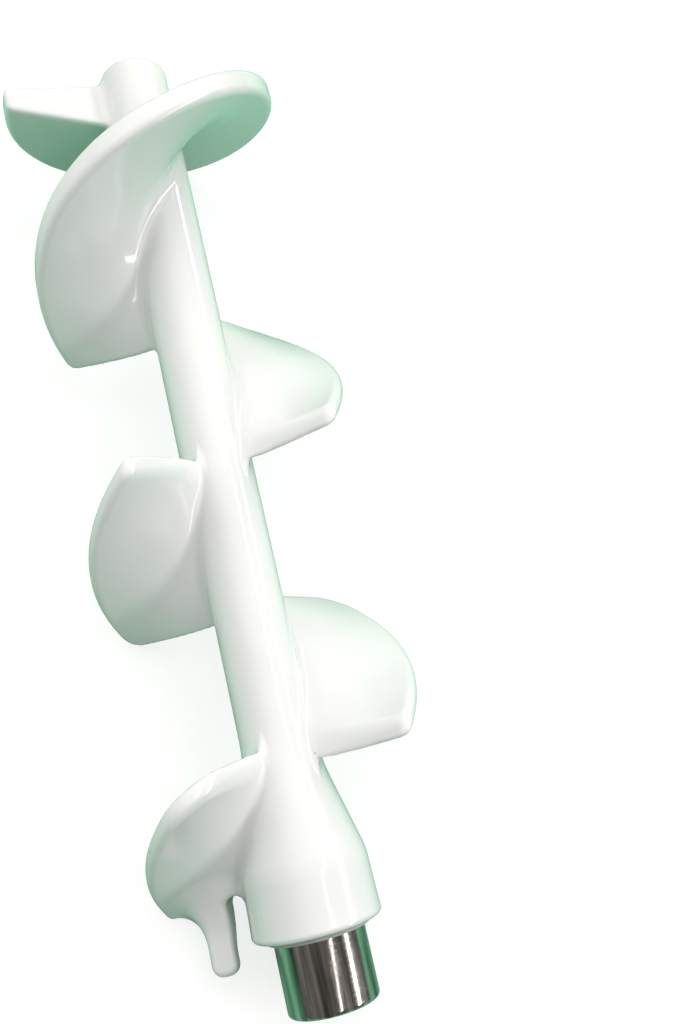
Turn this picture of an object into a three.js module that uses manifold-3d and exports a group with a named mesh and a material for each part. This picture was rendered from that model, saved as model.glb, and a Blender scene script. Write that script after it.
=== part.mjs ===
// Drill paint mixer head: a slim shaft with interrupted right-handed screw blades, a cone-shaped hub and a
// polished steel drive sleeve. Every piece is first built upright in the screw's own frame, in millimetres:
// the spin axis is Z, the drive end face is at z = 0 and the tip is at z = headLength. The finished head is
// then laid down on a bench, the way it rests when it isn't in a drill.
import * as THREE from "three";
import { mergeVertices } from "three/addons/utils/BufferGeometryUtils.js";
import Module from "manifold-3d";

const wasm = await Module();
wasm.setup();

// ---- driving dimensions (mm and degrees) ----
const headLength = 274;
const flightRadius = 40;
const shaftRadius = 10;
const sleeveRadius = 12;
const collarRadius = 17;
const collarBottom = 19.3; // height where the white hub starts, above the drive end face
const shoulderRadius = collarRadius - 0.2;
const shoulderHeight = 35.6; // crease between collar and cone
const coneTop = 62;
const capSeam = 248; // joint between shaft tube and tip cap
const rodRadius = 5;
const gap = 0.3; // clearance between touching pieces

// Screw blades. Angles turn about the spin axis from the right-hand side; heights are along the axis.
const paddleThickness = 5.6; // measured along the axis
const evenRoots = [paddleThickness, paddleThickness];
const rimEase = 1.2; // chamfer along the rim of each blade
const bladeStart = shaftRadius - 2; // radius that blades are drawn from, before the shaft's space is cut out

// Each blade runs along a path of [angle, height] points. Leans say by how many degrees the rim is shorter
// than the root at the lower and upper ends, corners give the radius of its outer corners there, and roots
// give how thick it is there beside the shaft.
const rightAngles = [-47, 51.5];
const rightEnds = { leans: [5, 8], corners: [3, 8] };
const blades = {
  topFlight: {
    path: [
      [145.5, 189.4],
      [217.5, 218],
      [272.5, 235],
      [332.5, 253.5],
      [402.5, 263.5],
      [462.5, 267],
      [555.5, 262.8],
    ],
    leans: [6, 0],
    corners: [2.5, 1.5],
    roots: [11.9, 15.2],
    rim: 7.6,
    steps: 60,
  },
  upperRight: { path: [[rightAngles[0], 143.7], [rightAngles[1], 195.7]], ...rightEnds },
  middleLeft: { path: [[140, 102.5], [238.5, 145]], leans: [5.5, 8], corners: [4.5, 3] },
  lowerRight: { path: [[rightAngles[0], 60.8], [rightAngles[1], 107.3]], ...rightEnds },
  bottomLeft: { path: [[153.5, 29.5], [240, 65.5]], leans: [3, 12], corners: [2, 10] },
};

// Drive parts inside the hub.
const sleeveBore = 9.4;
const sleeveTop = 34;
const clipGroove = { bottom: 1.5, top: 2.9, depth: 0.7 };
const clipClearance = 0.3; // above and below the snap ring in its groove
const socketBottom = 3.2;
const socketAcrossFlats = 12.7;
const socketFloor = 22; // blind end of the hex hole
const socketTop = 32;
const rodBottom = 24.8;
const rodTop = 256;
const pinHeight = 28.5;
const pinRadius = 1.5;
const oRingHeight = 40;
const oRingSection = 0.95; // radius of its round section
const screwRadius = 2.5;
const screwBottom = 244;
const screwHoleBottom = 242;
const screwHeadRadius = 4.5;
const screwHeadHeight = 3;
const screwSeat = 268; // floor of the counterbore in the tip cap
const counterboreRadius = 6.3;
const tipWasherThickness = 0.8;

// Finger that hangs beside the collar from the bottom left paddle.
const fingerAngle = 160.5;
const fingerInner = 22;
const fingerOuter = 29.4;
const fingerTip = 12.3;
const fingerRoot = 27; // height that its widening is drawn towards
const fingerThickness = 5;
const slotTop = 31.5;

// Lying on a bench, the head touches with the top flight, the hub collar and a corner of the bottom left
// paddle.
const restTilt = 5.4; // degrees that this leaves the tip above level
const restRoll = -4.2; // degrees that it turns the head about its own axis

const turns = 40; // facets round the large round pieces
const smallTurns = 24; // and round the small ones

// ---- solids ----
function solid(geometry) {
  const bare = geometry.clone();
  bare.deleteAttribute("normal");
  bare.deleteAttribute("uv");
  const merged = mergeVertices(bare, 1e-4);
  return new wasm.Manifold(
    new wasm.Mesh({
      numProp: 3,
      vertProperties: merged.attributes.position.array,
      triVerts: new Uint32Array(merged.index.array),
    }),
  );
}

function geometryOf(manifold) {
  const mesh = manifold.getMesh();
  const geometry = new THREE.BufferGeometry();
  geometry.setAttribute("position", new THREE.BufferAttribute(mesh.vertProperties, 3));
  geometry.setIndex(new THREE.BufferAttribute(mesh.triVerts, 1));
  geometry.computeVertexNormals();
  return geometry;
}

function cut(geometry, ...tools) {
  return geometryOf(tools.reduce((rest, tool) => rest.subtract(solid(tool)), solid(geometry)));
}

// A solid of revolution about Z. The outline lists [radius, height] pairs anticlockwise, going up the outside.
function revolve(outline, segments = turns) {
  const points = outline.map(([radius, height]) => new THREE.Vector2(radius, height));
  const closed = outline[0][0] > 0 ? [...points, points[0].clone()] : points;
  return new THREE.LatheGeometry(closed, segments).rotateX(Math.PI / 2);
}

// A plain ring between two radii and two heights.
function ring(inner, outer, bottom, top, segments = turns) {
  return revolve([[inner, bottom], [outer, bottom], [outer, top], [inner, top]], segments);
}

// Points of a quarter round from one corner angle to the next, for softened edges of an outline.
function rounded(radius, height, size, fromDegrees, steps = 3) {
  return Array.from({ length: steps + 1 }, (_, i) => {
    const angle = THREE.MathUtils.degToRad(fromDegrees + (90 * i) / steps);
    return [radius + size * Math.cos(angle), height + size * Math.sin(angle)];
  });
}

function cylinder(radius, bottom, top, segments = turns) {
  return new THREE.CylinderGeometry(radius, radius, top - bottom, segments)
    .rotateX(Math.PI / 2)
    .translate(0, 0, (bottom + top) / 2);
}

function crossCylinder(radius, length, height) {
  const pin = new THREE.CylinderGeometry(radius, radius, length, smallTurns);
  return pin.rotateZ(Math.PI / 2).translate(0, 0, height);
}

// ---- screw blades ----
// A blade is a thick ribbon: across it the radius grows from inside the shaft to the rim, and along it the
// angle and height follow its path. Its thickness is measured along the spin axis.
function blade({ path, leans, corners, roots = evenRoots, rim = paddleThickness, steps = 14 }) {
  const heightAt = smoothHeight(path);
  const first = path[0][0];
  const last = path[path.length - 1][0];
  const width = flightRadius - bladeStart;
  const rimLength = THREE.MathUtils.degToRad(last - leans[1] - first - leans[0]) * flightRadius;
  const across = [0, 0.35, 0.7, 1 - rimEase / width, 1];
  const box = new THREE.BoxGeometry(1, 1, 1, across.length - 1, 1, steps);
  const position = box.attributes.position;
  for (let i = 0; i < position.count; i++) {
    const share = across[Math.round((position.getX(i) + 0.5) * (across.length - 1))];
    const along = (1 - Math.cos(Math.PI * (0.5 - position.getZ(i)))) / 2; // stations crowd towards the ends
    const degrees = THREE.MathUtils.lerp(first + leans[0] * share, last - leans[1] * share, along);
    const angle = THREE.MathUtils.degToRad(degrees);
    const drop = cornerDrop(corners[0], along * rimLength) + cornerDrop(corners[1], (1 - along) * rimLength);
    const radius = bladeStart + (width - drop) * share;
    const ease = share === 1 ? 2 * rimEase : 0;
    const root = THREE.MathUtils.lerp(roots[0], roots[1], along);
    const thickness = THREE.MathUtils.lerp(root, rim, share) - ease;
    position.setXYZ(
      i,
      radius * Math.cos(angle),
      radius * Math.sin(angle),
      heightAt(degrees) + position.getY(i) * thickness,
    );
  }
  return cut(box, rootClearance());
}

// How far a rounded corner falls back from the rim, at a distance from the end of the blade.
function cornerDrop(radius, distance) {
  const inside = Math.max(radius - distance, 0);
  return radius - Math.sqrt(radius * radius - inside * inside);
}

// The height of a smooth curve through the path's points, at any angle along it.
function smoothHeight(path) {
  const samples = 300;
  const points = new THREE.SplineCurve(path.map(([degrees, height]) => new THREE.Vector2(degrees, height)))
    .getPoints(samples);
  return (degrees) => {
    const next = Math.max(points.findIndex((point) => point.x >= degrees), 1);
    const before = points[next - 1];
    const after = points[next];
    return THREE.MathUtils.mapLinear(degrees, before.x, after.x, before.y, after.y);
  };
}

// The space that the shaft, cap and hub take out of every blade.
function rootClearance() {
  const below = collarBottom - 8;
  const above = headLength + 5;
  return revolve([
    [0, below],
    [collarRadius + gap, below],
    [collarRadius + gap, shoulderHeight + gap],
    [shaftRadius + gap, coneTop + gap],
    [shaftRadius + gap, above],
    [0, above],
  ]);
}

// An outline drawn as radius across and height up, given a thickness and stood in the finger's radial plane.
function radialPlate(shape, thickness) {
  return new THREE.ExtrudeGeometry(shape, { depth: thickness, bevelEnabled: false, curveSegments: 6 })
    .translate(0, 0, -thickness / 2)
    .rotateX(Math.PI / 2)
    .rotateZ(THREE.MathUtils.degToRad(fingerAngle));
}

function bottomLeftPaddle() {
  const slotWidth = fingerInner - collarRadius;
  const slotCentre = collarRadius + slotWidth / 2;
  const slot = new THREE.Shape();
  slot.moveTo(fingerInner, fingerTip);
  slot.lineTo(fingerInner, slotTop - slotWidth / 2);
  slot.absarc(slotCentre, slotTop - slotWidth / 2, slotWidth / 2, 0, Math.PI, false);
  slot.lineTo(collarRadius, fingerTip);
  const throughPaddle = 30;
  return cut(blade(blades.bottomLeft), radialPlate(slot, throughPaddle));
}

// The finger ends just below the underside of the paddle that it hangs from.
function scraperFinger() {
  const tipRound = 3;
  const flare = 6; // how much wider it is where it meets the paddle
  const spaceHeight = 20;
  const lift = spaceHeight / 2 - paddleThickness / 2 - gap;
  const lifted = blades.bottomLeft.path.map(([degrees, height]) => [degrees, height + lift]);
  const roots = [spaceHeight, spaceHeight];
  const paddleSpace = blade({ ...blades.bottomLeft, path: lifted, roots, rim: spaceHeight });
  const shape = new THREE.Shape();
  shape.moveTo(fingerInner, slotTop);
  shape.lineTo(fingerInner, fingerTip + tipRound);
  shape.absarc(fingerInner + tipRound, fingerTip + tipRound, tipRound, Math.PI, 1.5 * Math.PI, false);
  shape.absarc(fingerOuter - tipRound, fingerTip + tipRound, tipRound, -0.5 * Math.PI, 0, false);
  shape.lineTo(fingerOuter, (fingerTip + fingerRoot) / 2);
  shape.quadraticCurveTo(fingerOuter, fingerRoot, fingerOuter + flare, slotTop);
  return cut(radialPlate(shape, fingerThickness), paddleSpace);
}

// ---- white body of the head ----
function shaftTube() {
  return ring(rodRadius + gap, shaftRadius, coneTop + gap, capSeam - gap);
}

function tipCap() {
  const edge = 2;
  return revolve([
    [rodRadius + gap, capSeam],
    [shaftRadius, capSeam],
    ...rounded(shaftRadius - edge, headLength - edge, edge, 0),
    [counterboreRadius, headLength],
    [counterboreRadius, screwSeat],
    [screwRadius + gap, screwSeat],
    [screwRadius + gap, rodTop + gap],
    [rodRadius + gap, rodTop + gap],
  ]);
}

function hubCone() {
  const grooveRadius = rodRadius + 2 * oRingSection + 2 * gap;
  const grooveHalf = oRingSection + gap;
  return revolve([
    [rodRadius + gap, shoulderHeight + gap],
    [shoulderRadius, shoulderHeight + gap],
    [shaftRadius, coneTop],
    [rodRadius + gap, coneTop],
    [rodRadius + gap, oRingHeight + grooveHalf],
    [grooveRadius, oRingHeight + grooveHalf],
    [grooveRadius, oRingHeight - grooveHalf],
    [rodRadius + gap, oRingHeight - grooveHalf],
  ]);
}

function hubCollar() {
  const edge = 1.4;
  return revolve([
    [sleeveRadius + gap, collarBottom],
    ...rounded(collarRadius - edge, collarBottom + edge, edge, -90),
    [shoulderRadius, shoulderHeight],
    [rodRadius + gap, shoulderHeight],
    [rodRadius + gap, sleeveTop + gap],
    [sleeveRadius + gap, sleeveTop + gap],
  ]);
}

function collarSeal() {
  const lip = { width: 1.3, height: 0.9 };
  const inner = sleeveRadius + gap;
  const top = collarBottom - gap;
  return ring(inner, inner + lip.width, top - lip.height, top);
}

// ---- steel drive parts ----
function driveSleeve() {
  const edge = 1.2;
  const grooveRadius = sleeveBore + clipGroove.depth;
  return revolve([
    [sleeveBore, 0],
    ...rounded(sleeveRadius - edge, edge, edge, -90),
    [sleeveRadius, sleeveTop],
    [sleeveBore, sleeveTop],
    [sleeveBore, clipGroove.top],
    [grooveRadius, clipGroove.top],
    [grooveRadius, clipGroove.bottom],
    [sleeveBore, clipGroove.bottom],
  ]);
}

function hexPrism(acrossFlats, bottom, top) {
  return cylinder(acrossFlats / Math.sqrt(3), bottom, top, 6);
}

function hexSocket() {
  const blank = cylinder(sleeveBore - gap, socketBottom, socketTop);
  const hexHole = hexPrism(socketAcrossFlats, 0, socketFloor);
  const rodHole = cylinder(rodRadius + gap, rodBottom - gap, socketTop + 1);
  const pinHole = crossCylinder(pinRadius + gap, 3 * sleeveRadius, pinHeight);
  return cut(blank, hexHole, rodHole, pinHole);
}

// A snap ring with an open gap between its ends.
function socketClip() {
  const width = 1.8;
  const openingWidth = 6;
  const outer = sleeveBore + clipGroove.depth - clipClearance;
  const whole = ring(outer - width, outer, clipGroove.bottom + clipClearance, clipGroove.top - clipClearance);
  const opening = new THREE.BoxGeometry(3 * width, openingWidth, 2 * clipGroove.top).translate(outer, 0, 0);
  return cut(whole, opening);
}

function torquePin() {
  return crossCylinder(pinRadius, 2 * (sleeveBore - 2 * gap), pinHeight);
}

function coreRod() {
  const blank = cylinder(rodRadius, rodBottom, rodTop, smallTurns);
  const pinHole = crossCylinder(pinRadius + gap, 3 * rodRadius, pinHeight);
  const screwHole = cylinder(screwRadius + gap, screwHoleBottom, rodTop + 1, smallTurns);
  return cut(blank, pinHole, screwHole);
}

function thrustWasher() {
  return ring(rodRadius + gap, sleeveBore - gap, socketTop + gap, sleeveTop);
}

function rodORing() {
  const sides = 10;
  const middle = rodRadius + gap + oRingSection;
  const section = Array.from({ length: sides }, (_, i) => {
    const angle = (2 * Math.PI * i) / sides;
    return [middle + oRingSection * Math.cos(angle), oRingHeight + oRingSection * Math.sin(angle)];
  });
  return revolve(section, smallTurns);
}

function tipWasher() {
  const bottom = screwSeat + gap;
  return ring(screwRadius + gap, counterboreRadius - 2 * gap, bottom, bottom + tipWasherThickness, smallTurns);
}

function tipScrew() {
  const chamfer = 0.6;
  const keyAcrossFlats = 4;
  const keyDepth = 2;
  const headBottom = screwSeat + 2 * gap + tipWasherThickness;
  const headTop = headBottom + screwHeadHeight;
  const turned = revolve(
    [
      [0, screwBottom],
      [screwRadius - chamfer, screwBottom],
      [screwRadius, screwBottom + chamfer],
      [screwRadius, headBottom],
      [screwHeadRadius, headBottom],
      [screwHeadRadius, headTop - chamfer],
      [screwHeadRadius - chamfer, headTop],
      [0, headTop],
    ],
    smallTurns,
  );
  return cut(turned, hexPrism(keyAcrossFlats, headTop - keyDepth, headTop + 1));
}

// ---- materials ----
const whiteCoat = { color: 0xf1f2ee, roughness: 0.16, metalness: 0 };
const polishedSteel = { color: 0x8d8a84, roughness: 0.2, metalness: 1 };
const blackRubber = { color: 0x1b1b1c, roughness: 0.7, metalness: 0 };
const greySeal = { color: 0xb9bcb6, roughness: 0.6, metalness: 0 };

const pieces = [
  ["drive_sleeve", driveSleeve, polishedSteel],
  ["hex_socket", hexSocket, polishedSteel],
  ["socket_clip", socketClip, polishedSteel],
  ["torque_pin", torquePin, polishedSteel],
  ["core_rod", coreRod, polishedSteel],
  ["thrust_washer", thrustWasher, polishedSteel],
  ["rod_o_ring", rodORing, blackRubber],
  ["collar_seal", collarSeal, greySeal],
  ["hub_collar", hubCollar, whiteCoat],
  ["hub_cone", hubCone, whiteCoat],
  ["shaft_tube", shaftTube, whiteCoat],
  ["tip_cap", tipCap, whiteCoat],
  ["tip_washer", tipWasher, polishedSteel],
  ["tip_screw", tipScrew, polishedSteel],
  ["top_flight", () => blade(blades.topFlight), whiteCoat],
  ["upper_right_paddle", () => blade(blades.upperRight), whiteCoat],
  ["middle_left_paddle", () => blade(blades.middleLeft), whiteCoat],
  ["lower_right_paddle", () => blade(blades.lowerRight), whiteCoat],
  ["bottom_left_paddle", bottomLeftPaddle, whiteCoat],
  ["scraper_finger", scraperFinger, whiteCoat],
];

const screw = new THREE.Group();
for (const [name, build, finish] of pieces) {
  const mesh = new THREE.Mesh(build(), new THREE.MeshStandardMaterial(finish));
  mesh.name = name;
  screw.add(mesh);
}

screw.rotateX(THREE.MathUtils.degToRad(restTilt - 90));
screw.rotateZ(THREE.MathUtils.degToRad(restRoll));

// The origin is on the bench, under the middle of the head, with +Y towards the tip.
const head = new THREE.Group();
head.add(screw);
const box = new THREE.Box3().setFromObject(head, true);
const middle = box.getCenter(new THREE.Vector3());
screw.position.set(-middle.x, -middle.y, -box.min.z);

export default head;
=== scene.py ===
# Looks of the drill paint mixer head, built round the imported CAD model.
#
# The head is one glossy white body on a polished steel drive sleeve. The white body is described as a single
# smooth shape, by formulas that give each point's distance from its surface, with rounded edges and a fillet
# at the root of every blade. Each CAD piece of it then becomes a closed mesh cut from that one shape, so the
# surface runs on from piece to piece without a step.
#
# Shapes are in millimetres in the head's own frame, as in the CAD model: the spin axis is Z, the drive end
# face is at z = 0 and angles turn about the axis from +X. to_world() brings points to metres in the row's
# frame.
import math

import bpy
import numpy as np
from mathutils import Matrix, Vector


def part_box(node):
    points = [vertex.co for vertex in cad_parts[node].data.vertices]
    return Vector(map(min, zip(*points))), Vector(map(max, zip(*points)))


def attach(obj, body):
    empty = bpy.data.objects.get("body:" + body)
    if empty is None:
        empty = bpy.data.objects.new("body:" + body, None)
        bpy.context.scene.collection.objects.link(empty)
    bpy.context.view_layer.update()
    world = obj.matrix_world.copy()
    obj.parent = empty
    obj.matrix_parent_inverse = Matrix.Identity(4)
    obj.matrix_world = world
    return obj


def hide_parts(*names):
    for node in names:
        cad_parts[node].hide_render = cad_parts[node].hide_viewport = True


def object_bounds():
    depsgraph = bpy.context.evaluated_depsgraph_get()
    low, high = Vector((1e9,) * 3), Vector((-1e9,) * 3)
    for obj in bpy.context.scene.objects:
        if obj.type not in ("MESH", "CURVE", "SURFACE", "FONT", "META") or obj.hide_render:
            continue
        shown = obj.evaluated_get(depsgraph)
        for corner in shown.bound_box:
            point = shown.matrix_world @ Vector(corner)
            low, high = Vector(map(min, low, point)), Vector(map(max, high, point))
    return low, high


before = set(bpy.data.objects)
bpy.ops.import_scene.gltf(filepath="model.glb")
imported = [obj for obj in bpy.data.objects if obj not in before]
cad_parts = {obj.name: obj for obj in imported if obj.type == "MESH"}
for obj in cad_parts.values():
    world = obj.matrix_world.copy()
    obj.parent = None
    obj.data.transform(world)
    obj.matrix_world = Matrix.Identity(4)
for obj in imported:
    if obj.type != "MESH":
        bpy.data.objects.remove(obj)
cad_box = [list(corner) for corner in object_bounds()]

# ---- sizes of the head (mm and degrees), as in the CAD model ----
HEAD_LENGTH = 274
FLIGHT_RADIUS = 40
SHAFT_RADIUS = 10
SLEEVE_RADIUS = 12
COLLAR_RADIUS = 17
SHOULDER_RADIUS = 16.8
COLLAR_BOTTOM = 19.3
SHOULDER_HEIGHT = 35.6
CONE_TOP = 62
CAP_SEAM = 248
ROD_RADIUS = 5
GAP = 0.3
BLADE_START = 8  # radius at which a blade is as thick as its root
PADDLE_THICKNESS = 5.6

SLEEVE_BORE = 9.4
SLEEVE_TOP = 34
SOCKET_BOTTOM = 3.2
SOCKET_TOP = 32
SOCKET_ACROSS_FLATS = 12.7
SOCKET_FLOOR = 22
CLIP_GROOVE_DEPTH = 0.7
CLIP_GROOVE = (1.5, 2.9)
CLIP_WIDTH = 1.8
CLIP_OPENING = 6
ROD_HOLE_BOTTOM = 24.5
PIN_HEIGHT = 28.5
PIN_RADIUS = 1.5
SCREW_SEAT = 268
COUNTERBORE_RADIUS = 6.3
SCREW_BOTTOM = 244
SCREW_RADIUS = 2.5
SCREW_HEAD_RADIUS = 4.5
SCREW_HEAD_HEIGHT = 3
SCREW_KEY_ACROSS_FLATS = 4
SCREW_KEY_DEPTH = 2
WASHER_THICKNESS = 0.8
ROD_TOP = 256

FINGER_ANGLE = 160.5
FINGER_INNER = 22
FINGER_OUTER = 29.4
FINGER_TIP = 12.3
FINGER_THICKNESS = 5
FINGER_FLARE = 8
SLOT_TOP = 31.5

REST_TILT = 5.4
REST_ROLL = -4.2

# ---- soft edges and fillets (mm) ----
RIM_EDGE = 2.1
END_EDGE = 1.7
ROOT_FILLET = 2.8
END_FILLET = 2.0
CONE_BLEND = 2.2
SEAM_LIFT = 1.2  # how far a blade's seam stands above the plain shaft
FINGER_SEAM_LIFT = 2.4  # and how far the finger's seam is below its paddle
BLADE_REACH = 19  # how far along the axis a blade and its root fillet pass its middle height

COARSER = 1
MESH_STEP = 0.7 * COARSER  # spacing of the grid that the white body is meshed on
FAR = 1e3  # farther than anything on the head


# ---- placing the head ----
def head_frame():
    """The head's own frame in metres: the shaft tube is a plain ring, so its box's middle is on the axis."""
    low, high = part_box("shaft_tube")
    middle = (Vector(low) + Vector(high)) / 2
    tilt = Matrix.Rotation(math.radians(REST_TILT - 90), 4, "X")
    roll = Matrix.Rotation(math.radians(REST_ROLL), 4, "Z")
    middle_height = (CONE_TOP + CAP_SEAM) / 2000
    return Matrix.Translation(middle) @ tilt @ roll @ Matrix.Translation((0, 0, -middle_height))


HEAD = head_frame()


def to_world(points):
    """Millimetres in the head's frame to metres in the row's frame."""
    turn = np.array(HEAD.to_3x3())
    return points / 1000 @ turn.T + np.array(HEAD.translation)


# ---- distance formulas ----
def fillet_join(a, b, radius):
    """Two shapes joined, with a round fillet where they meet."""
    reach = np.hypot(np.maximum(radius - a, 0), np.maximum(radius - b, 0))
    return np.maximum(radius, np.minimum(a, b)) - reach


def soft_join(a, b, width):
    """Two shapes that meet at a shallow angle, blended over a width."""
    share = np.maximum(width - abs(a - b), 0) / width
    return np.minimum(a, b) - share**2 * width / 4


def rounded_cut(radius, *sides):
    """What lies inside every side, with rounded outer edges."""
    reach = np.sqrt(sum(np.maximum(side + radius, 0) ** 2 for side in sides))
    return np.minimum(-radius, np.maximum.reduce(sides)) + reach


def ease(value):
    """A smooth step from 0 to 1."""
    value = np.clip(value, 0, 1)
    return value * value * (3 - 2 * value)


def cylindrical(points):
    radius = np.hypot(points[:, 0], points[:, 1])
    degrees = np.degrees(np.arctan2(points[:, 1], points[:, 0]))
    return radius, degrees, points[:, 2]


def smooth_curve(knots):
    """A natural cubic spline through (x, y) knots: returns functions for its height and its slope."""
    x, y = np.array(knots, float).T
    width = np.diff(x)
    slope = np.diff(y) / width
    system = np.eye(len(x))
    bends = np.zeros(len(x))
    for i in range(1, len(x) - 1):
        system[i, i - 1 : i + 2] = width[i - 1], 2 * (width[i - 1] + width[i]), width[i]
        bends[i] = 6 * (slope[i] - slope[i - 1])
    bend = np.linalg.solve(system, bends)

    def pieces(at):
        at = np.clip(at, x[0], x[-1])
        i = np.clip(np.searchsorted(x, at) - 1, 0, len(x) - 2)
        return i, at - x[i], x[i + 1] - at, width[i]

    def height(at):
        i, after, before, w = pieces(at)
        curved = (bend[i] * before**3 + bend[i + 1] * after**3) / (6 * w)
        straight = (y[i] / w - bend[i] * w / 6) * before + (y[i + 1] / w - bend[i + 1] * w / 6) * after
        return curved + straight

    def steepness(at):
        i, after, before, w = pieces(at)
        curved = (bend[i + 1] * after**2 - bend[i] * before**2) / (2 * w)
        return curved + (y[i + 1] - y[i]) / w - (bend[i + 1] - bend[i]) * w / 6

    return height, steepness


class Blade:
    """A screw blade: a ribbon whose height along the axis follows its angle round the axis."""

    def __init__(self, knots, leans, corners, rim=PADDLE_THICKNESS, roots=(PADDLE_THICKNESS,) * 2):
        self.first, self.low = knots[0]
        self.last, self.high = knots[-1][0], max(height for _, height in knots)
        self.height, self.steepness = smooth_curve(knots)
        self.leans = leans  # degrees by which the rim is shorter than the root, at the first and last end
        self.corners = corners  # radius of each outer corner
        self.rim = rim  # thickness along the axis at the rim
        self.roots = roots  # and at the root, at the first and last end

    def share(self, radius):
        """How far out a radius is between the root and the rim."""
        return np.clip((radius - BLADE_START) / (FLIGHT_RADIUS - BLADE_START), 0, 1)

    def thickness(self, radius, angle):
        """Thickness measured along the axis."""
        along = np.clip((angle - self.first) / (self.last - self.first), 0, 1)
        root = self.roots[0] + (self.roots[1] - self.roots[0]) * along
        return root + (self.rim - root) * self.share(radius)

    def angles(self, degrees):
        """The same direction counted in the blade's own turns, which a blade of a full turn passes twice."""
        margin = 60
        start = self.first - margin
        turned = start + (degrees - start) % 360
        overlaps_itself = self.last - self.first > 360 - margin
        return (turned, turned + 360) if overlaps_itself else (turned,)

    def distance(self, radius, degrees, z):
        share = self.share(radius)
        arc = np.radians(radius)
        rim = radius - FLIGHT_RADIUS
        ending = 4  # distance from an end over which the rim's edge becomes the end's edge
        best = np.full(radius.shape, FAR)
        for angle in self.angles(degrees):
            off_middle = abs(z - self.height(angle))
            faces = (off_middle - self.thickness(radius, angle) / 2) / self.stretch(radius, angle)
            first = (self.first + self.leans[0] * share - angle) * arc
            last = (angle - self.last + self.leans[1] * share) * arc
            first_corner = rounded_cut(self.corners[0], first, rim)
            last_corner = rounded_cut(self.corners[1], last, rim)
            outline = np.maximum(first_corner, last_corner)
            edge = RIM_EDGE + (END_EDGE - RIM_EDGE) * ease(1 + np.maximum(first, last) / ending)
            best = np.minimum(best, rounded_cut(edge, faces, outline))
        return best

    def stretch(self, radius, angle):
        """How much farther apart the two faces are along the axis than straight across the blade."""
        return np.hypot(1, np.degrees(self.steepness(angle)) / np.maximum(radius, 1))

    def below(self, radius, degrees, z):
        """Distance above the blade's underside."""
        angle = self.angles(degrees)[0]
        underside = self.height(angle) - self.thickness(radius, angle) / 2
        return (z - underside) / self.stretch(radius, angle)

    def fillet(self, radius, degrees):
        """Radius of the fillet at the root, which tightens towards the blade's ends."""
        ending = 5  # distance from an end over which it tightens
        inside = np.maximum.reduce([np.minimum(a - self.first, self.last - a) for a in self.angles(degrees)])
        return END_FILLET + (ROOT_FILLET - END_FILLET) * ease(np.radians(inside) * radius / ending)


# Each blade's knots are (angle, height) pairs along the middle of its thickness.
RIGHT = (-47, 51.5)
BLADES = {
    "top_flight": Blade(
        [
            (145.5, 189.4),
            (217.5, 218),
            (272.5, 235),
            (332.5, 253.5),
            (402.5, 263.5),
            (462.5, 267),
            (555.5, 262.8),
        ],
        leans=(6, 0),
        corners=(2.5, 1.5),
        rim=7.6,
        roots=(11.9, 15.2),
    ),
    "upper_right_paddle": Blade([(RIGHT[0], 143.7), (RIGHT[1], 195.7)], leans=(5, 8), corners=(3, 8)),
    "middle_left_paddle": Blade([(140, 102.5), (238.5, 145)], leans=(5.5, 8), corners=(4.5, 3)),
    "lower_right_paddle": Blade([(RIGHT[0], 60.8), (RIGHT[1], 107.3)], leans=(5, 8), corners=(3, 8)),
    "bottom_left_paddle": Blade([(153.5, 29.5), (240, 65.5)], leans=(3, 12), corners=(2, 10)),
}


def core(radius, z):
    """Shaft and hub without their blades: a shape of revolution with a crease at the shoulder."""
    shoulder_edge, bottom_edge, tip_edge = 0.5, 1.7, 2
    collar_taper = 0.008
    lip, lip_height = 0.4, 4
    slope = (SHOULDER_RADIUS - SHAFT_RADIUS) / (CONE_TOP - SHOULDER_HEIGHT)
    cone = (radius - SHAFT_RADIUS - slope * (CONE_TOP - z)) / math.hypot(1, slope)
    flare = lip * np.exp(-np.maximum(z - COLLAR_BOTTOM, 0) / lip_height)
    collar = radius - SHOULDER_RADIUS + collar_taper * (z - SHOULDER_HEIGHT) - flare
    hub = rounded_cut(shoulder_edge, cone, collar)
    side = soft_join(radius - SHAFT_RADIUS, hub, CONE_BLEND)
    bottom = rounded_cut(bottom_edge, side, COLLAR_BOTTOM - z)
    return rounded_cut(tip_edge, bottom, z - HEAD_LENGTH)


def finger_axes(points):
    """Radial distance and sideways distance in the plane of the scraper finger."""
    angle = math.radians(FINGER_ANGLE)
    outward = points[:, 0] * math.cos(angle) + points[:, 1] * math.sin(angle)
    sideways = points[:, 1] * math.cos(angle) - points[:, 0] * math.sin(angle)
    return outward, sideways


def finger(points):
    """A round-tipped finger that hangs down beside the collar."""
    tip_round, edge = 3, 1.8
    top = SLOT_TOP + 4  # inside the paddle
    outward, sideways = finger_axes(points)
    half = (FINGER_OUTER - FINGER_INNER) / 2
    width = abs(outward - FINGER_INNER - half) - half
    plate = rounded_cut(tip_round, width, FINGER_TIP - points[:, 2], points[:, 2] - top)
    return rounded_cut(edge, plate, abs(sideways) - FINGER_THICKNESS / 2)


def slot(points):
    """The round-topped slot between finger and collar."""
    outward, _ = finger_axes(points)
    half = (FINGER_INNER - COLLAR_RADIUS) / 2
    above = np.maximum(points[:, 2] - SLOT_TOP + half, 0)
    return np.hypot(outward - COLLAR_RADIUS - half, above) - half


def collar_mouth(radius, z):
    return np.maximum(radius - SLEEVE_RADIUS - GAP, z - SLEEVE_TOP - GAP)


def counterbore(radius, z):
    return np.maximum(radius - COUNTERBORE_RADIUS, SCREW_SEAT - z)


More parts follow.
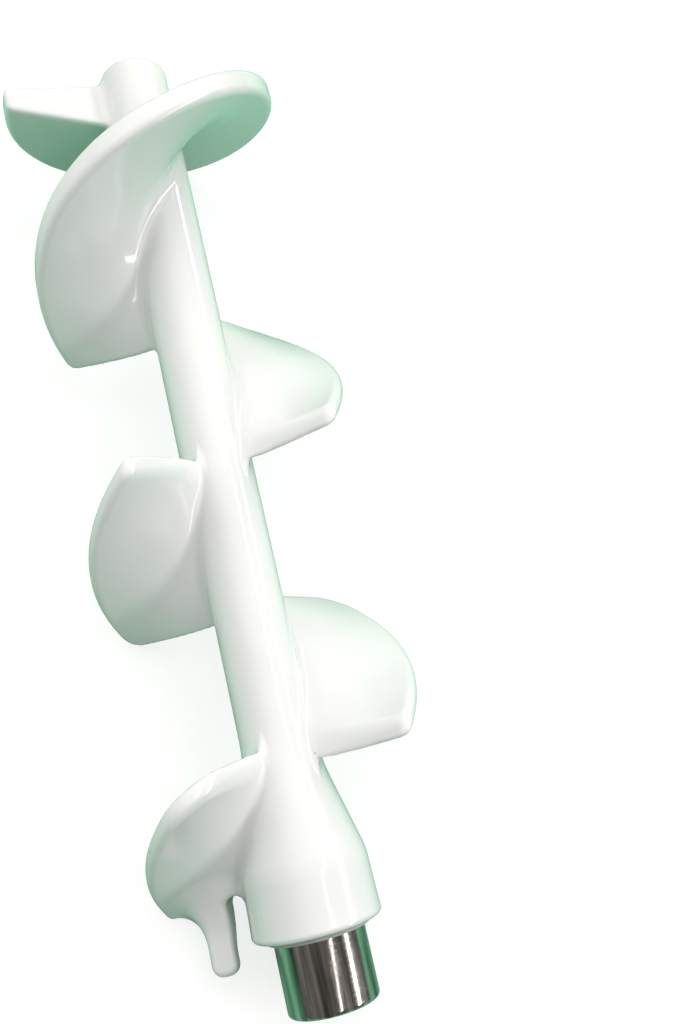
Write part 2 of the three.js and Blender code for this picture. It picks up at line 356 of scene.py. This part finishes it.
def body(points):
    """The whole white body."""
    slot_edge, mouth_edge, counterbore_edge = 1.2, 0.6, 0.5
    radius, degrees, z = cylindrical(points)
    shape = core(radius, z)
    for name, blade in BLADES.items():
        if z.max() < blade.low - BLADE_REACH or z.min() > blade.high + BLADE_REACH:
            continue
        part = blade.distance(radius, degrees, z)
        if name == "bottom_left_paddle":
            part = fillet_join(part, finger(points), FINGER_FLARE)
            part = rounded_cut(slot_edge, part, -slot(points))
        shape = fillet_join(shape, part, blade.fillet(radius, degrees))
    shape = rounded_cut(mouth_edge, shape, -collar_mouth(radius, z))
    return rounded_cut(counterbore_edge, shape, -counterbore(radius, z))


# ---- where one piece ends and the next begins ----
def between(low, high):
    """The part of the shaft and hub between two heights, with the bores inside it."""

    def wall(points):
        radius, _, z = cylindrical(points)
        rod = np.minimum(ROD_RADIUS + GAP - radius, ROD_TOP + GAP - z)
        screw = SCREW_RADIUS + GAP - radius
        return np.maximum.reduce([core(radius, z) - SEAM_LIFT, low - z, z - high, rod, screw])

    return wall


def only_blade(name):
    """What stands clear of the shaft and is nearer to this blade than to any other."""

    def wall(points):
        radius, degrees, z = cylindrical(points)
        near = {other: blade.distance(radius, degrees, z) for other, blade in BLADES.items()}
        own = near.pop(name)
        nearest_other = np.minimum.reduce(list(near.values()))
        clear = np.maximum(SEAM_LIFT - core(radius, z), own - nearest_other)
        return np.maximum(clear, -finger_share(points)) if name == "bottom_left_paddle" else clear

    return wall


def finger_share(points):
    """What belongs to the finger: below the paddle, outside the slot and near the finger."""
    radius, degrees, z = cylindrical(points)
    below = BLADES["bottom_left_paddle"].below(radius, degrees, z) + FINGER_SEAM_LIFT
    outward, _ = finger_axes(points)
    slot_middle = (COLLAR_RADIUS + FINGER_INNER) / 2
    return np.maximum.reduce([below, slot_middle - outward, finger(points) - FINGER_FLARE])


def only_finger(points):
    radius, _, z = cylindrical(points)
    return np.maximum(SEAM_LIFT - core(radius, z), finger_share(points))


# ---- meshing a shape ----
def gradient(function, points, reach=0.02):
    """How fast a function grows along each axis."""
    slopes = []
    for step in reach * np.eye(3):
        slopes.append((function(points + step) - function(points - step)) / (2 * reach))
    return np.stack(slopes, axis=1)


ON_SHAPE, ON_WALL, ON_SEAM = 0, 1, 2
LEAST_SLOPE = 0.05  # slopes below this are too flat to step along


def settle(points, shape, wall, kind, rounds=4):
    """Moves each point onto the shape, onto the wall, or onto the seam between them, as its kind says."""
    for _ in range(rounds):
        for surface, chosen in ((shape, kind == ON_SHAPE), (wall, kind == ON_WALL)):
            if chosen.any():
                slope = gradient(surface, points[chosen])
                size = np.maximum((slope**2).sum(1), LEAST_SLOPE)
                points[chosen] -= (surface(points[chosen]) / size)[:, None] * slope
        seam = kind == ON_SEAM
        if seam.any():
            slopes = np.stack([gradient(shape, points[seam]), gradient(wall, points[seam])], axis=1)
            values = np.stack([shape(points[seam]), wall(points[seam])], axis=1)
            points[seam] -= np.einsum("nij,nj->ni", np.linalg.pinv(slopes, rcond=LEAST_SLOPE), values)
    return points


def relax(points, quads, chosen):
    """Evens out the chosen points between their neighbours."""
    total = np.zeros_like(points)
    count = np.zeros(len(points))
    for corner in range(4):
        for other in (quads[:, corner - 1], quads[:, (corner + 1) % 4]):
            np.add.at(total, quads[:, corner], points[other])
            np.add.at(count, quads[:, corner], 1)
    points[chosen] = (points + total / count[:, None])[chosen] / 2
    return points


def largest_part(quads):
    """Which quads belong to the largest connected part, which leaves out slivers beside a seam."""
    _, corners = np.unique(quads, return_inverse=True)
    corners = corners.reshape(quads.shape)
    label = np.arange(corners.max() + 1)
    while True:
        lowest = label.copy()
        np.minimum.at(lowest, corners, label[corners].min(axis=1)[:, None])
        lowest = lowest[lowest]
        if (lowest == label).all():
            break
        label = lowest
    part = label[corners[:, 0]]
    return part == np.bincount(part).argmax()


def grid_quads(on_shape, on_wall):
    """One quad for every grid edge that crosses the surface: its four cells, the place where the edge crosses
    and whether the wall is what it crosses there."""
    value = np.maximum(on_shape, on_wall)
    quads, crossings, walled = [], [], []
    for axis in range(3):
        ahead, across, up = (np.eye(3, dtype=int)[(axis + turn) % 3] for turn in range(3))
        edges = np.argwhere((value < 0) != (np.roll(value, -1, axis) < 0))
        here, there = tuple(edges.T), tuple((edges + ahead).T)
        share = value[here] / (value[here] - value[there])
        crossings.append(edges + share[:, None] * ahead)
        shape_value, wall_value = (
            field[here] + share * (field[there] - field[here]) for field in (on_shape, on_wall)
        )
        walled.append(wall_value > shape_value)
        ring = [edges, edges - across, edges - across - up, edges - up]
        cells = np.stack([np.ravel_multi_index(tuple(cell.T), value.shape) for cell in ring], axis=1)
        outward = value[here] < 0
        quads.append(np.where(outward[:, None], cells, cells[:, ::-1]))
    return (np.concatenate(part) for part in (quads, crossings, walled))


def unit(vectors):
    return vectors / np.maximum(np.linalg.norm(vectors, axis=1), 1e-9)[:, None]


def skin(shape, wall, low, high, step=MESH_STEP):
    """A closed mesh of what lies inside both the shape and the wall, cut square where the two meet.
    Returns its points, its quads and a normal for every corner of every quad."""
    counts = np.ceil((np.array(high, float) - low) / step).astype(int) + 1
    places = np.array(low, float) + step * np.indices(counts).reshape(3, -1).T
    quads, crossings, walled = grid_quads(*(function(places).reshape(counts) for function in (shape, wall)))
    main = largest_part(quads)
    quads, crossings, walled = quads[main], crossings[main], walled[main]
    cells, corners = np.unique(quads, return_inverse=True)
    quads = corners.reshape(quads.shape)
    total, count, wall_count = np.zeros((len(cells), 3)), np.zeros(len(cells)), np.zeros(len(cells))
    for corner in range(4):
        np.add.at(total, quads[:, corner], crossings)
        np.add.at(count, quads[:, corner], 1)
        np.add.at(wall_count, quads[:, corner], walled)
    points = np.array(low, float) + step * total / count[:, None]
    kind = np.where(wall_count == 0, ON_SHAPE, np.where(wall_count == count, ON_WALL, ON_SEAM))
    points = settle(points, shape, wall, kind)
    for _ in range(3):
        points = settle(relax(points, quads, kind == ON_SHAPE), shape, wall, kind, rounds=2)
    a, b, c, d = points[quads.T]
    flat = unit(np.cross(c - a, d - b))
    smooth = unit(gradient(shape, points))
    normals = np.where(walled[:, None, None], flat[:, None, :], smooth[quads])
    return points, quads, normals


def inside_only(points):
    """A wall that is nowhere, for a shape that is meshed whole."""
    return np.full(len(points), -FAR)


# ---- Blender objects ----
def add_mesh(name, points, faces, material, node, slot, normals=None):
    """Makes one piece of the head, which rides on the head and stands for a CAD node."""
    mesh = bpy.data.meshes.new(name)
    mesh.from_pydata(to_world(np.asarray(points, float)).tolist(), [], [list(face) for face in faces])
    mesh.materials.append(material)
    for polygon in mesh.polygons:
        polygon.use_smooth = True
    if normals is not None:
        turned = normals.reshape(-1, 3) @ np.array(HEAD.to_3x3()).T
        mesh.normals_split_custom_set(turned.tolist())
    else:
        mesh.set_sharp_from_angle(angle=math.radians(35))
    piece = bpy.data.objects.new(name, mesh)
    bpy.context.scene.collection.objects.link(piece)
    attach(piece, "root")
    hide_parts(node)


def revolve(outline, segments=160):
    """Points and quads of a closed outline of (radius, height) pairs turned about the axis."""
    outline = np.array(outline, float)
    angles = np.linspace(0, 2 * math.pi, segments, endpoint=False)
    ring = np.stack([np.cos(angles), np.sin(angles)], axis=1)
    points = np.concatenate([np.column_stack([ring * radius, np.full(segments, z)]) for radius, z in outline])
    faces = []
    for i in range(len(outline)):
        j = (i + 1) % len(outline)
        for k in range(segments):
            m = (k + 1) % segments
            faces.append((i * segments + k, i * segments + m, j * segments + m, j * segments + k))
    return points, faces


def corner(radius, z, size, start, steps=6):
    """Points of a quarter round about a centre, turning from a start angle."""
    angles = np.radians(start + np.linspace(0, 90, steps + 1))
    return [(radius + size * math.cos(a), z + size * math.sin(a)) for a in angles]


# ---- materials ----
class Look:
    """A small helper that wires up one procedural material."""

    def __init__(self, name):
        self.material = bpy.data.materials.new(name)
        self.material.use_nodes = True
        self.nodes = self.material.node_tree.nodes
        self.links = self.material.node_tree.links
        self.shader = self.nodes["Principled BSDF"]
        place = self.nodes.new("ShaderNodeTexCoord")
        self.place = self.nodes.new("ShaderNodeMapping")
        self.place.vector_type = "TEXTURE"
        self.place.inputs["Location"].default_value = HEAD.translation
        self.place.inputs["Rotation"].default_value = HEAD.to_euler()
        self.links.new(place.outputs["Object"], self.place.inputs["Vector"])

    def stretched(self, scale):
        mapping = self.nodes.new("ShaderNodeMapping")
        mapping.inputs["Scale"].default_value = scale
        self.links.new(self.place.outputs["Vector"], mapping.inputs["Vector"])
        return mapping.outputs["Vector"]

    def noise(self, size, detail=3, scale=(1, 1, 1)):
        """Noise whose lumps are about this many metres across."""
        noise = self.nodes.new("ShaderNodeTexNoise")
        noise.inputs["Scale"].default_value = 1 / size
        noise.inputs["Detail"].default_value = detail
        self.links.new(self.stretched(scale), noise.inputs["Vector"])
        return noise.outputs["Fac"]

    def ramp(self, value, stops):
        ramp = self.nodes.new("ShaderNodeValToRGB")
        elements = ramp.color_ramp.elements
        while len(elements) < len(stops):
            elements.new(0.5)
        for element, (position, colour) in zip(elements, stops):
            element.position = position
            element.color = (*colour, 1) if isinstance(colour, tuple) else (colour, colour, colour, 1)
        self.links.new(value, ramp.inputs["Fac"])
        return ramp.outputs["Color"]

    def bump(self, height, distance, strength=1.0, below=None):
        bump = self.nodes.new("ShaderNodeBump")
        bump.inputs["Distance"].default_value = distance
        bump.inputs["Strength"].default_value = strength
        self.links.new(height, bump.inputs["Height"])
        if below is not None:
            self.links.new(below, bump.inputs["Normal"])
        return bump.outputs["Normal"]

    def feed(self, socket, value):
        self.links.new(value, self.shader.inputs[socket])

    def fixed(self, **values):
        for name, value in values.items():
            self.shader.inputs[name.replace("_", " ")].default_value = value


def white_coat():
    """Thick glossy white enamel: faint mottling, soft orange peel and fine rubbed patches."""
    look = Look("glossy_white_coat")
    whites = [(0.3, (0.80, 0.81, 0.79)), (0.7, (0.84, 0.84, 0.825))]
    look.feed("Base Color", look.ramp(look.noise(0.03, 4), whites))
    look.feed("Roughness", look.ramp(look.noise(0.012, 6), [(0.35, 0.09), (0.7, 0.17)]))
    waves = look.bump(look.noise(0.014, 1), 0.0004, 0.35)
    look.feed("Normal", look.bump(look.noise(0.0022, 2), 0.00006, 0.3, waves))
    look.fixed(IOR=1.5, Coat_Weight=0.6, Coat_Roughness=0.04)
    return look.material


def turned_steel():
    """Polished steel with fine turning rings, short scuffs round the bar, and long brown-grey streaks along
    the bar in its colour that are painted reflections of a room.
    """
    look = Look("polished_sleeve_steel")
    # painted reflection: dark-to-pale streaks along the bar in the base colour stand in for the room seen in
    # the polished steel
    painted_reflection_streaks = look.noise(0.0026, 5, scale=(1, 1, 0.05))
    painted_reflection_tones = [(0.34, (0.09, 0.083, 0.076)), (0.5, (0.44, 0.405, 0.365)), (0.66, (0.80, 0.76, 0.71))]
    look.feed("Base Color", look.ramp(painted_reflection_streaks, painted_reflection_tones))
    scuffs = look.noise(0.0016, 4, scale=(0.6, 0.6, 4))
    look.feed("Roughness", look.ramp(scuffs, [(0.42, 0.13), (0.62, 0.2), (0.72, 0.28)]))
    rings = look.noise(0.0006, 3, scale=(0.02, 0.02, 1))
    look.feed("Normal", look.bump(rings, 0.00002, 0.4))
    look.fixed(Metallic=1.0)
    return look.material


def machined_steel():
    """Machined steel with faint turning marks."""
    look = Look("machined_steel")
    greys = [(0.3, (0.42, 0.42, 0.41)), (0.7, (0.58, 0.575, 0.56))]
    look.feed("Base Color", look.ramp(look.noise(0.005, 4), greys))
    look.feed("Roughness", look.ramp(look.noise(0.002, 5), [(0.35, 0.25), (0.7, 0.42)]))
    look.feed("Normal", look.bump(look.noise(0.0007, 3, scale=(0.05, 0.05, 1)), 0.00002, 0.5))
    look.fixed(Metallic=1.0)
    return look.material


def rubber(name, dark, light):
    look = Look(name)
    look.feed("Base Color", look.ramp(look.noise(0.002, 4), [(0.3, dark), (0.7, light)]))
    look.feed("Roughness", look.ramp(look.noise(0.001, 4), [(0.3, 0.5), (0.7, 0.75)]))
    look.feed("Normal", look.bump(look.noise(0.0004, 2), 0.00003, 0.4))
    return look.material


WHITE = white_coat()
SLEEVE_STEEL = turned_steel()
INNER_STEEL = machined_steel()
BLACK_RUBBER = rubber("black_rubber", (0.012, 0.012, 0.013), (0.03, 0.03, 0.03))
GREY_RUBBER = rubber("pale_grey_rubber", (0.45, 0.46, 0.44), (0.56, 0.57, 0.55))


# ---- white pieces ----
def white_piece(node, wall, low, high):
    points, quads, normals = skin(body, wall, low, high)
    add_mesh(f"coated_{node}", points, quads, WHITE, node, "white_body", normals)


def grid_box(radius, low, high):
    """Two corners of a box round a piece, with a margin."""
    margin = 2
    side = radius + margin
    return (-side, -side, low - margin), (side, side, high + margin)


def white_body():
    beyond = 5  # so that an end piece isn't cut at its own end
    seams = {
        "hub_collar": (COLLAR_BOTTOM - beyond, SHOULDER_HEIGHT),
        "hub_cone": (SHOULDER_HEIGHT, CONE_TOP),
        "shaft_tube": (CONE_TOP, CAP_SEAM),
        "tip_cap": (CAP_SEAM, HEAD_LENGTH + beyond),
    }
    for node, (low, high) in seams.items():
        widest = COLLAR_RADIUS if low < CONE_TOP else SHAFT_RADIUS
        white_piece(node, between(low, high), *grid_box(widest + 1, low, high))
    for node, blade in BLADES.items():
        box = grid_box(FLIGHT_RADIUS, blade.low - BLADE_REACH, blade.high + BLADE_REACH)
        white_piece(node, only_blade(node), *box)
    white_piece("scraper_finger", only_finger, *grid_box(FLIGHT_RADIUS, FINGER_TIP, SLOT_TOP + FINGER_FLARE))


white_body()


# ---- steel and rubber pieces ----
def lathe_piece(name, node, slot, material, outline):
    add_mesh(name, *revolve(outline), material, node, slot)


def ring_outline(inner, outer, bottom, top, edge):
    """Outline of a ring with rounded edges."""
    return [
        *corner(inner + edge, bottom + edge, edge, 180),
        *corner(outer - edge, bottom + edge, edge, 270),
        *corner(outer - edge, top - edge, edge, 0),
        *corner(inner + edge, top - edge, edge, 90),
    ]


def drive_sleeve():
    edge, mouth = 1.2, 0.5
    groove = SLEEVE_BORE + CLIP_GROOVE_DEPTH
    groove_bottom, groove_top = CLIP_GROOVE
    outline = [
        (SLEEVE_BORE + mouth, 0),
        *corner(SLEEVE_RADIUS - edge, edge, edge, -90),
        *corner(SLEEVE_RADIUS - mouth, SLEEVE_TOP - mouth, mouth, 0),
        (SLEEVE_BORE, SLEEVE_TOP),
        (SLEEVE_BORE, groove_top),
        (groove, groove_top),
        (groove, groove_bottom),
        (SLEEVE_BORE, groove_bottom),
        (SLEEVE_BORE, mouth),
    ]
    lathe_piece("turned_drive_sleeve", "drive_sleeve", "polished_steel", SLEEVE_STEEL, outline)


def collar_seal():
    width, height, edge = 1.3, 0.9, 0.35
    inner, top = SLEEVE_RADIUS + GAP, COLLAR_BOTTOM - GAP
    outline = ring_outline(inner, inner + width, top - height, top, edge)
    lathe_piece("moulded_collar_seal", "collar_seal", "lip_seal", GREY_RUBBER, outline)


def tip_washer():
    inner, outer, edge = SCREW_RADIUS + GAP, COUNTERBORE_RADIUS - 2 * GAP, 0.2
    bottom = SCREW_SEAT + GAP
    outline = ring_outline(inner, outer, bottom, bottom + WASHER_THICKNESS, edge)
    lathe_piece("turned_tip_washer", "tip_washer", "inner_steel", INNER_STEEL, outline)


def hexagon(points, across_flats):
    """An endless hexagonal bar along the axis."""
    directions = np.radians([0, 60, 120])
    across = points[:, :1] * np.cos(directions) + points[:, 1:2] * np.sin(directions)
    return abs(across).max(axis=1) - across_flats / 2


def flared_mouth(radius, depth, across_flats, bevel):
    """A cone that opens the corners of a hex hole by a bevel at its mouth."""
    return (radius - across_flats / math.sqrt(3) - bevel + depth) / math.sqrt(2)


def hex_socket(points):
    edge, hole_edge, bevel = 0.3, 0.2, 0.6
    radius, _, z = cylindrical(points)
    block = rounded_cut(edge, radius - SLEEVE_BORE + GAP, SOCKET_BOTTOM - z, z - SOCKET_TOP)
    hex_hole = np.maximum(hexagon(points, SOCKET_ACROSS_FLATS), z - SOCKET_FLOOR)
    mouth = flared_mouth(radius, z - SOCKET_BOTTOM, SOCKET_ACROSS_FLATS, bevel)
    rod_hole = np.maximum(radius - ROD_RADIUS - GAP, ROD_HOLE_BOTTOM - z)
    pin_hole = np.hypot(points[:, 1], z - PIN_HEIGHT) - PIN_RADIUS - GAP
    for hole in (hex_hole, mouth, rod_hole, pin_hole):
        block = rounded_cut(hole_edge, block, -hole)
    return block


def socket_clip(points):
    """A snap ring with an open gap between its ends."""
    edge = 0.15
    radius, _, z = cylindrical(points)
    outer = SLEEVE_BORE + CLIP_GROOVE_DEPTH - GAP
    bottom, top = CLIP_GROOVE[0] + GAP, CLIP_GROOVE[1] - GAP
    opening = np.where(points[:, 0] > 0, CLIP_OPENING / 2 - abs(points[:, 1]), -outer)
    return rounded_cut(edge, radius - outer, outer - CLIP_WIDTH - radius, bottom - z, z - top, opening)


def tip_screw(points):
    edge, key_edge, bevel = 0.5, 0.12, 0.3
    radius, _, z = cylindrical(points)
    head_bottom = SCREW_SEAT + 2 * GAP + WASHER_THICKNESS
    head_top = head_bottom + SCREW_HEAD_HEIGHT
    head = rounded_cut(edge, radius - SCREW_HEAD_RADIUS, head_bottom - z, z - head_top)
    shank_top = head_top - 1  # inside the head
    shank = rounded_cut(edge, radius - SCREW_RADIUS, SCREW_BOTTOM - z, z - shank_top)
    key = np.maximum(hexagon(points, SCREW_KEY_ACROSS_FLATS), head_top - SCREW_KEY_DEPTH - z)
    mouth = flared_mouth(radius, head_top - z, SCREW_KEY_ACROSS_FLATS, bevel)
    return rounded_cut(key_edge, rounded_cut(key_edge, np.minimum(head, shank), -key), -mouth)


def carved_piece(name, node, shape, step, radius, low, high):
    points, quads, normals = skin(shape, inside_only, *grid_box(radius, low, high), step * COARSER)
    add_mesh(name, points, quads, INNER_STEEL, node, "inner_steel", normals)


drive_sleeve()
collar_seal()
tip_washer()
carved_piece("machined_hex_socket", "hex_socket", hex_socket, 0.4, SLEEVE_BORE, SOCKET_BOTTOM, SOCKET_TOP)
carved_piece("sprung_socket_clip", "socket_clip", socket_clip, 0.2, SLEEVE_RADIUS, 1, 3)
carved_piece("machined_tip_screw", "tip_screw", tip_screw, 0.25, SCREW_HEAD_RADIUS, SCREW_BOTTOM, HEAD_LENGTH)

for node, material in {
    "torque_pin": INNER_STEEL,
    "core_rod": INNER_STEEL,
    "thrust_washer": INNER_STEEL,
    "rod_o_ring": BLACK_RUBBER,
}.items():
    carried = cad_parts[node]
    if not carried.material_slots:
        carried.data.materials.append(material)
    for material_slot in carried.material_slots:
        material_slot.material = material


# ---- stage (metres) ----
STAGE_RADIUS = 12
STAGE_SEGMENTS = 96


def stage_piece(name, points, faces, colour, glow=0.0):
    mesh = bpy.data.meshes.new(name)
    mesh.from_pydata(points, [], faces)
    material = bpy.data.materials.new(name)
    material.use_nodes = True
    shader = material.node_tree.nodes["Principled BSDF"]
    shader.inputs["Base Color"].default_value = (*colour, 1)
    shader.inputs["Roughness"].default_value = 0.9
    shader.inputs["Specular IOR Level"].default_value = 0.1
    shader.inputs["Emission Color"].default_value = (*colour, 1)
    shader.inputs["Emission Strength"].default_value = glow
    mesh.materials.append(material)
    piece = bpy.data.objects.new(name, mesh)
    bpy.context.scene.collection.objects.link(piece)
    return piece


def stage_ring(height):
    angles = np.linspace(0, 2 * math.pi, STAGE_SEGMENTS, endpoint=False)
    return [(STAGE_RADIUS * math.cos(a), STAGE_RADIUS * math.sin(a), height) for a in angles]


def plain_disc(name, height, colour, glow=0.0):
    return stage_piece(name, stage_ring(height), [list(range(STAGE_SEGMENTS))], colour, glow)


def round_wall(name, height, colour, glow):
    faces = []
    for i in range(STAGE_SEGMENTS):
        j = (i + 1) % STAGE_SEGMENTS
        faces.append((i, j, j + STAGE_SEGMENTS, i + STAGE_SEGMENTS))
    return stage_piece(name, stage_ring(0) + stage_ring(height), faces, colour, glow)


def seen_by_camera_only(piece):
    piece.visible_diffuse = False
    piece.visible_glossy = False
    piece.visible_transmission = False
    piece.visible_shadow = False


def softbox(name, azimuth, elevation, distance, size, radiance, colour=(1, 1, 1), mirrored=True):
    """A soft light that faces the middle of the head, with its long side level. Azimuth 0 is the drive end's
    side and 90 the right-hand side."""
    light = bpy.data.lights.new(name, "AREA")
    light.shape = "RECTANGLE"
    light.size, light.size_y = size
    light.energy = radiance * math.pi * size[0] * size[1]
    light.color = colour
    lamp = bpy.data.objects.new(name, light)
    bpy.context.scene.collection.objects.link(lamp)
    a, e = math.radians(azimuth), math.radians(elevation)
    out = Vector((math.sin(a) * math.cos(e), -math.cos(a) * math.cos(e), math.sin(e)))
    lamp.location = MIDDLE + out * distance
    lamp.rotation_euler = (-out).to_track_quat("-Z", "Y").to_euler()
    lamp.visible_camera = False
    lamp.visible_glossy = mirrored


MIDDLE = (Vector(cad_box[0]) + Vector(cad_box[1])) / 2

PALE = (0.25, 0.253, 0.25)
seen_by_camera_only(plain_disc("pale_floor", 0, PALE, glow=3.1))
seen_by_camera_only(round_wall("pale_backdrop", 10, PALE, glow=3.3))
card = plain_disc("green_bounce_card", -0.0005, (0.17, 0.46, 0.30))  # just below the floor
card.visible_camera = False

# Narrow lights that show as lines on the gloss, then wide ones that don't show in reflections.
softbox("right_strip", azimuth=90, elevation=34, distance=0.95, size=(1.6, 0.12), radiance=9)
softbox("top_strip", azimuth=60, elevation=68, distance=1.0, size=(1.4, 0.05), radiance=7)
for name, azimuth, elevation, distance, size, radiance, colour in (
    ("tip_side_fill", 165, 55, 1.3, (1.6, 1.2), 1.9, (1, 0.985, 0.975)),
    ("left_fill", -125, 35, 0.8, (0.9, 0.6), 2.2, (1, 0.98, 0.985)),
    ("drive_side_fill", 20, 45, 1.2, (1.4, 0.9), 0.6, (1, 0.985, 0.98)),
):
    softbox(name, azimuth, elevation, distance, size, radiance, colour, mirrored=False)

world = bpy.data.worlds.new("studio")
bpy.context.scene.world = world
world.use_nodes = True
background = world.node_tree.nodes["Background"]
background.inputs["Color"].default_value = (0.95, 0.95, 0.93, 1)
background.inputs["Strength"].default_value = 0.2


# ---- camera (in the head's own frame) ----
CAMERA_PLACE = Vector((-31.26, -276.98, 65.59))
CAMERA_AIM = Vector((30.9, -7.2, 124.1))
CAMERA_ROLL = -13.64
CAMERA_LENS = 35.58


def add_camera():
    data = bpy.data.cameras.new("camera")
    data.lens = CAMERA_LENS
    data.sensor_width = 36
    data.clip_start = 0.01
    camera = bpy.data.objects.new("camera", data)
    bpy.context.scene.collection.objects.link(camera)
    bpy.context.scene.camera = camera
    facing = (CAMERA_AIM - CAMERA_PLACE).to_track_quat("-Z", "Y").to_matrix().to_4x4()
    roll = Matrix.Rotation(math.radians(CAMERA_ROLL), 4, "Z")
    camera.matrix_world = HEAD @ Matrix.Translation(CAMERA_PLACE / 1000) @ facing @ roll


add_camera()
bpy.context.scene.view_settings.view_transform = "Standard"
